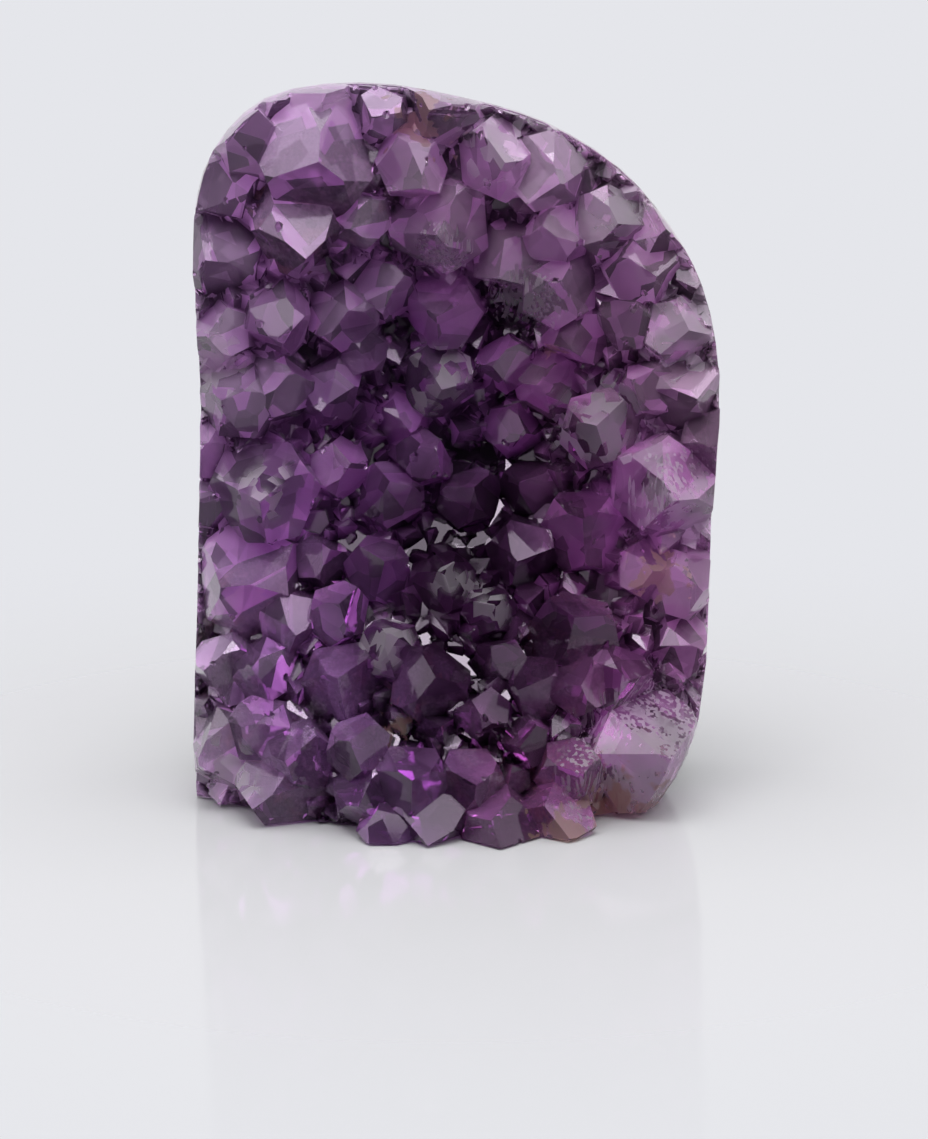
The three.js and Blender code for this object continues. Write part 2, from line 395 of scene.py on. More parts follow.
@dataclass(frozen=True)
class CrystalFace:
    """The form of the crystal face: a hollow in its middle and a lip at its foot, as depths along Y."""

    hollow_x: float = 0.001
    hollow_z: float = 0.055
    hollow_half_width: float = 0.032
    hollow_half_height: float = 0.040
    hollow_depth: float = 0.011
    hollow_rounding: float = 1.5
    lip_reach: float = 0.020
    lip_half_width: float = 0.038
    lip_height: float = 0.029
    crust_depth: float = 0.009
    bed_depth: float = 0.0052
    rock_lip: float = 0.01001
    rim: float = 0.0

    def depth(self, x: np.ndarray, z: np.ndarray) -> np.ndarray:
        """Gives the depth of the crystal heads.

        Args:
            x: Places across.
            z: Places up.

        Returns:
            The face's y at those places.
        """
        across = (x - self.hollow_x) / self.hollow_half_width
        up = (z - self.hollow_z) / self.hollow_half_height
        hollow = self.hollow_depth * np.maximum(0, 1 - (across ** 2 + up ** 2)) ** self.hollow_rounding
        arch = np.maximum(0, 1 - (x / self.lip_half_width) ** 2)
        lip = self.lip_reach * arch * np.exp(-((np.maximum(0, z) / self.lip_height) ** 2))
        return self.rim + hollow - lip


FACE = CrystalFace(rim=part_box("rock_matrix")[0].y + CrystalFace.rock_lip)


def points_of(mesh: Mesh) -> np.ndarray:
    """Reads a mesh's points.

    Args:
        mesh: The mesh.

    Returns:
        One row of x, y and z for each point.
    """
    flat = np.empty(3 * len(mesh.vertices))
    mesh.vertices.foreach_get("co", flat)
    return flat.reshape(-1, 3)


def new_piece(name: str, data: bpy.types.ID) -> Piece:
    """Links a mesh, a light or a camera into the scene as an object at the origin.

    Args:
        name: The object's name.
        data: Its mesh, light or camera.

    Returns:
        The object.
    """
    piece = bpy.data.objects.new(name, data)
    bpy.context.scene.collection.objects.link(piece)
    return piece


def copy_of_node(node: str, name: str) -> Piece:
    """Copies a node's mesh, with its loose triangles merged.

    Args:
        node: The node's name.
        name: The new piece's name.

    Returns:
        The new piece, at the origin.
    """
    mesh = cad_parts[node].data.copy()
    mesh.name = name
    mesh.materials.clear()
    if "custom_normal" in mesh.attributes:
        mesh.attributes.remove(mesh.attributes["custom_normal"])
    shape = bmesh.new()
    shape.from_mesh(mesh)
    bmesh.ops.remove_doubles(shape, verts=shape.verts, dist=1e-7)
    for face in shape.faces:
        face.smooth = False
    shape.to_mesh(mesh)
    shape.free()
    return new_piece(name, mesh)


def baked(piece: Piece, tree: bpy.types.GeometryNodeTree, values: Inputs) -> Mesh:
    """Runs a geometry tree on a piece and keeps the result as a plain mesh.

    Args:
        piece: The piece that the tree starts from.
        tree: The tree.
        values: The tree's inputs by name.

    Returns:
        The result.
    """
    modifier = piece.modifiers.new(tree.name, "NODES")
    modifier.node_group = tree
    for item in tree.interface.items_tree:
        if item.in_out == "INPUT" and item.name in values:
            modifier[item.identifier] = values[item.name]
    depsgraph = bpy.context.evaluated_depsgraph_get()
    mesh = bpy.data.meshes.new_from_object(piece.evaluated_get(depsgraph))
    piece.modifiers.remove(modifier)
    return mesh


def remesh(piece: Piece, mesh: Mesh) -> None:
    """Gives a piece a new mesh in place of its old one, under the piece's name.

    Args:
        piece: The piece.
        mesh: The new mesh.
    """
    old = piece.data
    piece.data = mesh
    bpy.data.meshes.remove(old)
    mesh.name = piece.name


def crease(mesh: Mesh, turn: float) -> None:
    """Shades a mesh smooth, but for the edges that turn by more than some degrees."""
    mesh.shade_smooth()
    mesh.set_sharp_from_angle(angle=math.radians(turn))


def drop(piece: Piece) -> None:
    """Removes a helper object and its mesh."""
    mesh = piece.data
    bpy.data.objects.remove(piece)
    bpy.data.meshes.remove(mesh)


@dataclass(frozen=True)
class Studio:
    """The pale floor, the room's light and the soft boxes."""

    floor_side: float = 4.0
    floor_colour: Colour = (0.324, 0.324, 0.334)
    floor_fade: Span = (0.025, 0.18)
    floor_roughness: float = 0.08
    floor_gloss: float = 0.12
    backdrop: Colour = srgb(229, 230, 235)
    behind: Colour = (0.80, 0.80, 0.82)
    before: Colour = (0.025, 0.025, 0.027)
    front_to_back: Span = (-0.15, 0.45)
    bounces: int = 4
    boxes: tuple[SoftBox, ...] = (
        SoftBox("top_box", (0.0, -0.22, 0.85), 1.4, 1.25, 3.4),
        SoftBox("key_lamp", (-0.06, -0.30, 0.84), 0.42, 0.34, 8.5),
        SoftBox("left_box", (-0.85, -0.25, 0.45), 1.3, 1.3, 1.15),
        SoftBox("right_box", (0.85, -0.20, 0.45), 1.3, 1.3, 1.0),
    )

    def build_floor(self) -> Piece:
        """Lays the floor, which fades into the backdrop with distance.

        Returns:
            The floor.
        """
        half = self.floor_side / 2
        mesh = bpy.data.meshes.new("floor")
        corners = [(-half, -half, 0), (half, -half, 0), (half, half, 0), (-half, half, 0)]
        mesh.from_pydata(corners, [], [(0, 1, 2, 3)])
        floor = new_piece("floor", mesh)
        material, maker, shader, place = new_finish("pale_acrylic")
        shader.inputs["Base Color"].default_value = (*self.floor_colour, 1)
        shader.inputs["Roughness"].default_value = self.floor_roughness
        shader.inputs["Specular IOR Level"].default_value = self.floor_gloss
        shown = maker.ramp(maker.vector("LENGTH", place), *self.floor_fade, 1.0, 0.0)
        maker.feed(shader.inputs["Alpha"], shown)
        mesh.materials.append(material)
        return floor

    def build_surround(self) -> None:
        """Lights the room: pale to the eye, and as a light bright behind the stone and dark before it."""
        world = bpy.data.worlds.new("studio")
        world.use_nodes = True
        maker = TreeMaker(world.node_tree)
        way = maker.add("ShaderNodeTexCoord").outputs["Generated"]
        depth = maker.add("ShaderNodeSeparateXYZ", {0: way}).outputs["Y"]
        room = maker.blend(maker.ramp(depth, *self.front_to_back), self.before, self.behind)
        seen = maker.add("ShaderNodeLightPath").outputs["Is Camera Ray"]
        background = world.node_tree.nodes["Background"]
        maker.feed(background.inputs["Color"], maker.blend(seen, room, self.backdrop))
        bpy.context.scene.world = world

    def build(self) -> None:
        """Sets up the floor, the room and the soft boxes."""
        self.build_floor()
        self.build_surround()
        for box in self.boxes:
            box.build()
        bpy.context.scene.view_settings.view_transform = "Standard"
        bpy.context.scene.cycles.max_bounces = self.bounces
        bpy.context.scene.cycles.transmission_bounces = self.bounces
        bpy.context.scene.cycles.use_light_tree = False


@dataclass(frozen=True)
class Spot:
    """A patch on the face: its place across and up, its radius and its strength."""

    x: float
    z: float
    radius: float
    strength: float = 1.0


class Edge(Enum):
    """How the edge of a patch runs: in clouds, or along small flat breaks."""

    CLOUDY = "cloudy"
    BROKEN = "broken"


@dataclass(frozen=True)
class Patches:
    """Patches with ragged edges at chosen places of the face."""

    name: str
    spots: tuple[Spot, ...]
    grain: float
    edge: Edge = Edge.CLOUDY
    ragged: float = 4.0
    turn: float = 0.0
    stretch: float = 1.0
    weakening: float = 0.6
    far: float = 9.0
    fade: Span = (1.0, 0.5)

    def build(self) -> bpy.types.NodeTree:
        """Makes the shader group, or finds it.

        Returns:
            The group, which gives a Mask.
        """
        if self.name in bpy.data.node_groups:
            return bpy.data.node_groups[self.name]
        maker, place, result = new_pattern(self.name, "Mask")
        flat = maker.vector("MULTIPLY", place, (1, 0, 1))
        along = maker.add(
            "ShaderNodeMapping",
            {"Vector": place, "Rotation": (0, math.radians(self.turn), 0), "Scale": (1, 1, 1 / self.stretch)},
        ).outputs[0]
        if self.edge is Edge.BROKEN:
            breaks = maker.add("ShaderNodeTexVoronoi", {"Vector": along, "Scale": self.grain})
            cloud = maker.add("ShaderNodeSeparateColor", {0: breaks.outputs["Color"]}).outputs[0]
        else:
            cloud = maker.noise(along, self.grain)
        rough = maker.sum("MULTIPLY", maker.sum("SUBTRACT", cloud, 0.5), self.ragged)
        nearest: object = self.far
        for spot in self.spots:
            away = maker.vector("DISTANCE", flat, (spot.x, 0, spot.z))
            terms = {0: away, 1: 1 / spot.radius, 2: self.weakening * (1 - spot.strength)}
            reach = maker.add("ShaderNodeMath", terms, operation="MULTIPLY_ADD").outputs[0]
            nearest = maker.sum("MINIMUM", reach, nearest)
        maker.feed(result.inputs["Mask"], maker.ramp(maker.sum("ADD", nearest, rough), *self.fade))
        return maker.tree


IRON_STAIN = Patches(
    "iron_stain",
    (
        Spot(0.0235, 0.0005, 0.0065),
        Spot(0.0150, 0.0010, 0.0050, 0.5),
        Spot(0.0285, 0.0330, 0.0036, 0.8),
        Spot(-0.0040, 0.0950, 0.0050, 0.5),
        Spot(0.0140, 0.0630, 0.0016, 0.9),
        Spot(-0.0073, 0.0140, 0.0018, 0.9),
    ),
    420.0,
)
WHITE_VEILS = Patches(
    "white_veils",
    (
        Spot(0.0201, 0.0530, 0.0058),
        Spot(-0.0018, 0.0585, 0.0050, 0.8),
        Spot(-0.0093, 0.0244, 0.0030),
        Spot(0.0044, 0.0285, 0.0026),
        Spot(-0.0004, 0.0319, 0.0030, 0.8),
        Spot(-0.0257, 0.0449, 0.0040, 0.6),
        Spot(0.0060, 0.0920, 0.0050, 0.8),
        Spot(0.0230, 0.0830, 0.0050, 0.8),
        Spot(0.0320, 0.0660, 0.0060, 0.8),
        Spot(0.0335, 0.0420, 0.0050, 0.7),
        Spot(-0.0330, 0.0620, 0.0050, 0.8),
        Spot(-0.0315, 0.0060, 0.0050, 0.7),
        Spot(0.0262, 0.0085, 0.0062, 0.8),
    ),
    480.0,
    Edge.BROKEN,
    1.1,
)
FRACTURES = Patches(
    "fractures",
    (
        Spot(0.0262, 0.0080, 0.0085),
        Spot(0.0100, 0.0700, 0.0045, 0.7),
        Spot(-0.0010, 0.0770, 0.0040, 0.5),
        Spot(0.0300, 0.0450, 0.0050, 0.6),
    ),
    2100.0,
    Edge.BROKEN,
    1.5,
    -40.0,
    5.0,
)


@dataclass(frozen=True)
class GrowthZones:
    """The stone's zones, from the dark hollow out to the pale rim, with clouds in them."""

    name: str = "growth_zones"
    middle: Place = (0.001, 0.0, 0.029)
    reach: Place = (0.041, 1.0, 0.050)
    clouds: float = 95.0
    fine_clouds: float = 294.5
    sway: float = 0.6
    grains: float = 230.0

    def build(self) -> bpy.types.NodeTree:
        """Makes the shader group, or finds it.

        Returns:
            The group. It gives Rim, from 0 in the hollow to 1 at the rim, Cloud, and three numbers for each
            grain of the quartz: Grain, and Lean across and up.
        """
        if self.name in bpy.data.node_groups:
            return bpy.data.node_groups[self.name]
        maker, place, result = new_pattern(self.name, "Rim", "Cloud", "Grain", "Lean Across", "Lean Up")
        share = tuple(flat / span for flat, span in zip((1, 0, 1), self.reach))
        moved = maker.vector("SUBTRACT", place, self.middle)
        away = maker.vector("LENGTH", maker.vector("MULTIPLY", moved, share))
        cloud = maker.noise(place, self.clouds)
        swayed = maker.sum("MULTIPLY", maker.sum("SUBTRACT", cloud, 0.5), self.sway)
        maker.feed(result.inputs["Rim"], maker.sum("ADD", away, swayed))
        maker.feed(result.inputs["Cloud"], maker.noise(place, self.fine_clouds))
        grains = maker.add("ShaderNodeTexVoronoi", {"Vector": place, "Scale": self.grains})
        numbers = maker.add("ShaderNodeSeparateColor", {0: grains.outputs["Color"]})
        for name, number in zip(("Grain", "Lean Across", "Lean Up"), numbers.outputs):
            maker.feed(result.inputs[name], number)
        return maker.tree


@dataclass(frozen=True)
class AmethystFinish:
    """Clear purple quartz: deep in the hollow, pale at the rim, with white veils and iron stains, and painted
    shade in the gaps between the crystals. The dark of the hollow is partly painted shade, and the pale rim
    partly painted light that shines through it from behind.
    """

    # Partly the deeper purple of the hollow's crystals and partly painted shade for the dark of the deep
    # hollow.
    deep: Colour = (0.085, 0.030, 0.092)
    plum: Colour = (0.49, 0.180, 0.465)
    violet: Colour = (0.42, 0.200, 0.52)
    # Rose and lilac make the pale rim: partly the crystals' own paler zone, partly painted light for the
    # light that shines through the thin rim from the sides and behind.
    rose: Colour = (0.83, 0.54, 0.80)
    lilac: Colour = (0.77, 0.53, 0.85)
    white: Colour = (0.96, 0.93, 0.97)
    rust: Colour = (0.62, 0.42, 0.27)
    absorbed: Colour = (0.73, 0.38, 0.76)
    density: float = 85.0
    hue_clouds: float = 42.0
    hue_sway: float = 0.08
    hue_span: Span = (0.020, 0.068)
    body_span: Span = (0.11, 0.63)
    pale_span: Span = (0.53, 1.03)
    facet_shade: Span = (0.42, 1.5)
    # Painted shade: the colour is darkened with depth below the crystal heads, to near black in the gaps
    # between crystals, and lightened a little on the heads.
    sunk_depth: float = 0.0034
    painted_gap_shade_span: Span = (1.15, 0.08)
    grain_shade: Span = (0.75, 1.25)
    veil_share: float = 0.72
    stain_share: float = 0.8
    frosted_from: float = 0.5
    frost: Span = (0.05, 0.13)
    refraction: float = 1.544
    transmission: float = 0.88
    tilt: float = 0.04
    cracked_tilt: float = 0.3
    dulled: float = 0.5
    gloss: Colour = (0.96, 0.82, 1.0)

    def build(self) -> Material:
        """Makes the material.

        Returns:
            The material.
        """
        material, maker, shader, place = new_finish("amethyst")
        zones = maker.pattern(GrowthZones().build(), place)
        stain = maker.pattern(IRON_STAIN.build(), place)["Mask"]
        cracks = maker.pattern(FRACTURES.build(), place)["Mask"]
        veil = maker.sum("MAXIMUM", maker.pattern(WHITE_VEILS.build(), place)["Mask"], cracks)
        facet = maker.own(FACET)
        sway = maker.sum("MULTIPLY", maker.noise(place, self.hue_clouds, 1.0), self.hue_sway)
        across = maker.add("ShaderNodeSeparateXYZ", {0: place}).outputs["X"]
        right = maker.ramp(maker.sum("ADD", across, sway), *self.hue_span)
        body = maker.blend(right, self.violet, self.plum)
        # Towards the hollow the colour turns to deep: partly deeper purple, partly painted shade.
        colour = maker.blend(maker.ramp(zones["Rim"], *self.body_span), self.deep, body)
        # Towards the rim the colour turns pale: partly the paler zone of the crystals, partly painted light
        # shining through the thin rim.
        pale = maker.blend(right, self.lilac, self.rose)
        colour = maker.blend(maker.ramp(zones["Rim"], *self.pale_span), colour, pale)
        lit = maker.ramp(facet, 0.0, 1.0, *self.facet_shade)
        # Painted shade in the gaps between crystals, from their depth below the heads.
        painted_gap_shade = maker.ramp(maker.own(SUNK), 0.0, self.sunk_depth, *self.painted_gap_shade_span)
        grain = maker.ramp(zones["Grain"], 0.0, 1.0, *self.grain_shade)
        colour = maker.shaded(colour, maker.sum("MULTIPLY", maker.sum("MULTIPLY", lit, painted_gap_shade), grain))
        colour = maker.blend(maker.sum("MULTIPLY", veil, self.veil_share), colour, self.white)
        colour = maker.blend(maker.sum("MULTIPLY", stain, self.stain_share), colour, self.rust)
        frost = maker.ramp(facet, self.frosted_from, 1.0, *self.frost)
        dull = maker.sum("MULTIPLY", maker.sum("MAXIMUM", veil, stain), self.dulled)
        maker.feed(shader.inputs["Base Color"], colour)
        maker.feed(shader.inputs["Roughness"], maker.sum("MAXIMUM", frost, dull))
        shader.inputs["IOR"].default_value = self.refraction
        shader.inputs["Transmission Weight"].default_value = self.transmission
        shader.inputs["Specular Tint"].default_value = (*self.gloss, 1)
        maker.feed(shader.inputs["Normal"], self.tilted(maker, zones, veil))
        dye = {"Color": (*self.absorbed, 1), "Density": self.density}
        volume = maker.add("ShaderNodeVolumeAbsorption", dye).outputs["Volume"]
        maker.feed(material.node_tree.nodes["Material Output"].inputs["Volume"], volume)
        return material

    def tilted(self, maker: TreeMaker, zones: dict[str, Socket], veil: Socket) -> Socket:
        """Adds the mosaic of growth steps, flat fields in each facet that lean a little their own way.

        Args:
            maker: The maker of the material's tree.
            zones: The growth zones' values, with the lean of each grain.
            veil: Where the crystal is cracked, which leans the fields more.

        Returns:
            The leaning normal.
        """
        fields = maker.triple(zones["Lean Across"], 0.5, zones["Lean Up"])
        way = maker.vector("SUBTRACT", fields, (0.5, 0.5, 0.5))
        lean = maker.vector("SCALE", way, maker.ramp(veil, 0.0, 1.0, self.tilt, self.cracked_tilt))
        flat = maker.add("ShaderNodeNewGeometry").outputs["Normal"]
        return maker.vector("NORMALIZE", maker.vector("ADD", flat, lean))


@dataclass(frozen=True)
class BedFinish:
    """The bed that the crystals grew from: milky quartz in patches of its own grain, painted darker in the
    hollow as shade where it lies deep behind the crystals.
    """

    root: Colour = (0.86, 0.80, 0.87)
    # Painted shade: the bed is painted dark in the deep hollow behind the crystals.
    hollow: Colour = (0.22, 0.13, 0.23)
    root_span: Span = (0.12, 0.60)
    grain_span: Span = (0.2, 0.8)
    grain_shade: Span = (0.12, 1.1)
    roughness: float = 0.4

    def build(self) -> Material:
        """Makes the material.

        Returns:
            The material.
        """
        material, maker, shader, place = new_finish("milky_quartz")
        zones = maker.pattern(GrowthZones().build(), place)
        # Painted shade: the bed darkens towards the hollow.
        colour = maker.blend(maker.ramp(zones["Rim"], *self.root_span), self.hollow, self.root)
        colour = maker.shaded(colour, maker.ramp(zones["Grain"], *self.grain_span, *self.grain_shade))
        maker.feed(shader.inputs["Base Color"], colour)
        shader.inputs["Roughness"].default_value = self.roughness
        return material


@dataclass(frozen=True)
class RockFinish:
    """The wall of the cavity: agate bands behind the crystals, then basalt with a rough natural rind."""

    bands: tuple[tuple[float, Colour], ...] = (
        (0.0, (0.46, 0.40, 0.49)),
        (0.0010, (0.37, 0.34, 0.40)),
        (0.0014, (0.48, 0.44, 0.50)),
        (0.0022, (0.26, 0.26, 0.30)),
        (0.0026, (0.45, 0.43, 0.46)),
        (0.0036, (0.31, 0.31, 0.33)),
        (0.0041, (0.46, 0.43, 0.42)),
        (0.0048, (0.32, 0.31, 0.29)),
        (0.0054, (0.22, 0.18, 0.125)),
        (0.0062, (0.11, 0.115, 0.10)),
        (0.0120, (0.075, 0.080, 0.072)),
    )
    band_reach: float = 0.016
    band_sway: float = 0.0032
    rind: Colour = (0.115, 0.118, 0.100)
    rind_light: Colour = (0.19, 0.19, 0.165)
    rind_green: Colour = (0.075, 0.100, 0.078)
    rust: Colour = (0.23, 0.145, 0.085)
    grit: float = 1600.0
    grit_shade: Span = (0.2, 1.5)
    lumps: float = 210.0
    lump_twist: float = 0.3
    green_span: Span = (0.35, 0.62)
    flecks: float = 520.0
    fleck_span: Span = (0.54, 0.70)
    rust_clouds: float = 110.0
    rust_twist: float = 0.4
    rust_span: Span = (0.56, 0.72)
    rust_share: float = 0.7
    stain_share: float = 0.85
    roughness: Span = (0.22, 0.74)
    grit_span: Span = (0.3, 0.7)
    grit_roughness: float = 0.16
    pits: float = 900.0
    lump_weight: float = 1.5
    relief: Span = (0.02, 1.0)
    relief_strength: float = 0.7
    relief_depth: float = 0.0009

    def build(self) -> Material:
        """Makes the material.

        Returns:
            The material.
        """
        material, maker, shader, place = new_finish("rock")
        natural = maker.own(NATURAL)
        zones = maker.pattern(GrowthZones().build(), place)
        stain = maker.pattern(IRON_STAIN.build(), place)["Mask"]
        grit = maker.noise(place, self.grit, 3.0)
        lumps = maker.noise(place, self.lumps, 3.0, self.lump_twist)
        sway = maker.sum("MULTIPLY", maker.sum("SUBTRACT", zones["Cloud"], 0.5), self.band_sway)
        banded = self.banded(maker, maker.sum("ADD", maker.own(BAND), sway))
        rind = maker.blend(maker.ramp(lumps, *self.green_span), self.rind_green, self.rind)
        flecks = maker.ramp(maker.noise(place, self.flecks, 3.0), *self.fleck_span)
        rind = maker.blend(flecks, rind, self.rind_light)
        rusty = maker.noise(place, self.rust_clouds, 4.0, self.rust_twist)
        rind = maker.blend(maker.ramp(rusty, *self.rust_span, 0.0, self.rust_share), rind, self.rust)
        colour = maker.blend(natural, banded, rind)
        colour = maker.blend(maker.sum("MULTIPLY", stain, self.stain_share), colour, self.rust)
        rough = maker.ramp(natural, 0.0, 1.0, *self.grit_shade)
        speckle = maker.sum("MULTIPLY", maker.sum("SUBTRACT", grit, 0.5), rough)
        maker.feed(shader.inputs["Base Color"], maker.shaded(colour, maker.sum("ADD", speckle, 1.0)))
        dull = maker.ramp(natural, 0.0, 1.0, *self.roughness)
        dusty = maker.ramp(grit, *self.grit_span, 0.0, self.grit_roughness)
        maker.feed(shader.inputs["Roughness"], maker.sum("ADD", dull, dusty))
        broad = maker.sum("MULTIPLY", lumps, self.lump_weight)
        pitted = maker.sum("ADD", maker.noise(place, self.pits, 3.0), broad)
        height = maker.sum("MULTIPLY", pitted, maker.ramp(natural, 0.0, 1.0, *self.relief))
        form = {"Height": height, "Strength": self.relief_strength, "Distance": self.relief_depth}
        maker.feed(shader.inputs["Normal"], maker.add("ShaderNodeBump", form).outputs[0])
        return material

    def banded(self, maker: TreeMaker, depth: Socket) -> Socket:
        """Adds the bands of the cut rock.

        Args:
            maker: The maker of the material's tree.
            depth: How far behind the crystals a place lies.

        Returns:
            The colour of the bands.
        """
        node = maker.add("ShaderNodeValToRGB", {0: maker.sum("DIVIDE", depth, self.band_reach)})
        stops = node.color_ramp.elements
        while len(stops) < len(self.bands):
            stops.new(1.0)
        for stop, (start, colour) in zip(stops, self.bands):
            stop.position = start / self.band_reach
            stop.color = (*colour, 1)
        return node.outputs["Color"]


@dataclass(frozen=True)
class Druse:
    """A layer of small crystals that carpets the bed between the large ones."""

    name: str
    spacing: float
    width: Span
    sink: float
    lean: float
    seed: int
    root: float = 0.6
    follow: float = 0.45
    turn: float = 26.0
    heads: tuple[tuple[Vector, float], ...] = (
        (Vector((0.02, 0.01, 0.55)), 0.25),
        (Vector((-0.10, 0.06, 0.50)), 0.20),
        (Vector((0.11, -0.09, 0.58)), 0.27),
        (Vector((-0.03, -0.12, 0.48)), 0.12),
        (Vector((0.20, 0.06, 0.44)), 0.14),
        (Vector((-0.17, -0.13, 0.60)), 0.28),
    )
    jitter: float = 0.28
    form: tuple[Place, Place] = ((0.72, 0.80, 0.85), (1.18, 1.18, 1.40))

    def tree(self, values: Inputs) -> bpy.types.GeometryNodeTree:
        """Builds the layer's tree: crystals on a sheet's points, cut at the side and joined with the crust.

        Args:
            values: What the tree is given.

        Returns:
            The tree, with named inputs for its sizes.
        """
        maker, given = new_growth(self.name, values)
        seed = given["Seed"]
        share = maker.triple(given["Follow"], 1.0, given["Follow"])
        growth = maker.vector("MULTIPLY", maker.add("GeometryNodeInputNormal").outputs[0], share)
        upright = maker.add("FunctionNodeAlignRotationToVector", {"Vector": growth}, axis="Z").outputs[0]
        most = maker.triple(given["Lean"], given["Lean"], given["Turn"])
        turn = maker.draw(Draw.FLOAT_VECTOR, maker.vector("SCALE", most, -1.0), most, seed)
        turned = maker.add("FunctionNodeEulerToRotation", {"Euler": turn}).outputs[0]
        rotation = maker.add(
            "FunctionNodeRotateRotation", {"Rotation": upright, "Rotate By": turned}, rotation_space="LOCAL"
        )
        width = maker.draw(Draw.FLOAT, given["Least Width"], given["Most Width"], seed)
        next_seed = maker.sum("ADD", seed, 1.0)
        form = maker.draw(Draw.FLOAT_VECTOR, given["Least Form"], given["Most Form"], next_seed)
        kinds = [self.crystal(maker, tip, crown) for tip, crown in self.heads]
        placed = maker.add(
            "GeometryNodeInstanceOnPoints",
            {
                "Points": given["Piece"],
                "Instance": maker.add("GeometryNodeJoinGeometry", {0: kinds}).outputs[0],
                "Pick Instance": True,
                "Instance Index": maker.draw(Draw.INT, 0, len(kinds) - 1, seed),
                "Rotation": rotation.outputs[0],
                "Scale": maker.vector("SCALE", form, width),
            },
        )
        blank, crust = (
            maker.add("GeometryNodeObjectInfo", {"Object": given[name]}).outputs["Geometry"]
            for name in ("Blank", "Crust")
        )
        ground = maker.joined("INTERSECT", [maker.joined("UNION", [placed.outputs[0]]), blank])
        grown = maker.joined("UNION", [ground, crust])
        maker.add("NodeGroupOutput", {"Piece": maker.dressed(grown, given["Material"])})
        return maker.tree

    def crystal(self, maker: TreeMaker, tip: Vector, crown: float) -> Socket:
        """Adds the nodes of one crystal of unit width: a six-sided prism under a head of three large faces.

        Args:
            maker: The maker of the layer's tree.
            tip: The head's tip, over the middle of the prism's top.
            crown: The height of the corners on three of the prism's sides, where two large faces meet.

        Returns:
            The crystal as an instance.
        """
        prism = maker.add("GeometryNodeMeshCylinder", {"Vertices": 6, "Radius": 0.5, "Depth": self.root})
        sunk = maker.add(
            "GeometryNodeTransform",
            {"Geometry": prism.outputs[0], "Translation": Vector((0, 0, -self.root / 2))},
        )
        corners = maker.add("GeometryNodeMeshCircle", {"Vertices": 3, "Radius": 0.5 * math.cos(math.pi / 6)})
        raised = maker.add(
            "GeometryNodeTransform",
            {
                "Geometry": corners.outputs[0],
                "Translation": Vector((0, 0, crown)),
                "Rotation": Euler((0, 0, math.pi / 6)),
            },
        )
        point = maker.add("GeometryNodeMeshLine", {"Count": 1, "Start Location": tip})
        parts = [node.outputs[0] for node in (sunk, raised, point)]
        whole = maker.add("GeometryNodeJoinGeometry", {0: parts}).outputs[0]
        hull = maker.add("GeometryNodeConvexHull", {"Geometry": whole}).outputs[0]
        return maker.add("GeometryNodeGeometryToInstance", {"Geometry": hull}).outputs[0]

    def sheet(self, side: "PolishedSide") -> Mesh:
        """Makes the sheet that the crystals stand on: the bed of the face, with a point for each crystal.

        Args:
            side: The side that bounds the face.

        Returns:
            The sheet, facing the front.
        """
        low, high = CAD_BOX
        draw = np.random.default_rng(self.seed)
        across = np.arange(low.x, high.x + self.spacing, self.spacing)
        up = np.arange(low.z - 2 * self.spacing, high.z + self.spacing, self.spacing * math.sin(math.pi / 3))
        x, z = np.meshgrid(across, up)
        x[::2] += self.spacing / 2
        x, z = (grid.ravel() + self.jitter * self.spacing * draw.uniform(-1, 1, grid.size) for grid in (x, z))
        y = FACE.depth(x, z) + FACE.crust_depth - FACE.bed_depth + self.sink
        kept = side.holds(x, z)
        corners = np.arange(len(x)).reshape(len(up), len(across))
        loops = (corners[:-1, :-1], corners[:-1, 1:], corners[1:, 1:], corners[1:, :-1])
        cells = np.stack(loops, -1).reshape(-1, 4)
        used, cells = np.unique(cells[kept[cells].any(1)], return_inverse=True)
        mesh = bpy.data.meshes.new(self.name)
        mesh.from_pydata(np.column_stack((x, y, z))[used].tolist(), [], cells.reshape(-1, 4).tolist())
        return mesh

    def grow(self, crust: Piece, blank: Piece, sheet: Mesh, material: Material) -> Mesh:
        """Grows the layer on a crust.

        Args:
            crust: The crust so far.
            blank: What the crystals are cut to.
            sheet: What they stand on.
            material: Their finish.

        Returns:
            The crust with the layer, as one mesh.
        """
        carrier = new_piece(self.name, sheet)
        values = {
            "Least Width": self.width[0],
            "Most Width": self.width[1],
            "Least Form": self.form[0],
            "Most Form": self.form[1],
            "Follow": self.follow,
            "Lean": math.radians(self.lean),
            "Turn": math.radians(self.turn),
            "Seed": self.seed,
            "Crust": crust,
            "Blank": blank,
            "Material": material,
        }
        mesh = baked(carrier, self.tree(values), values)
        drop(carrier)
        return mesh


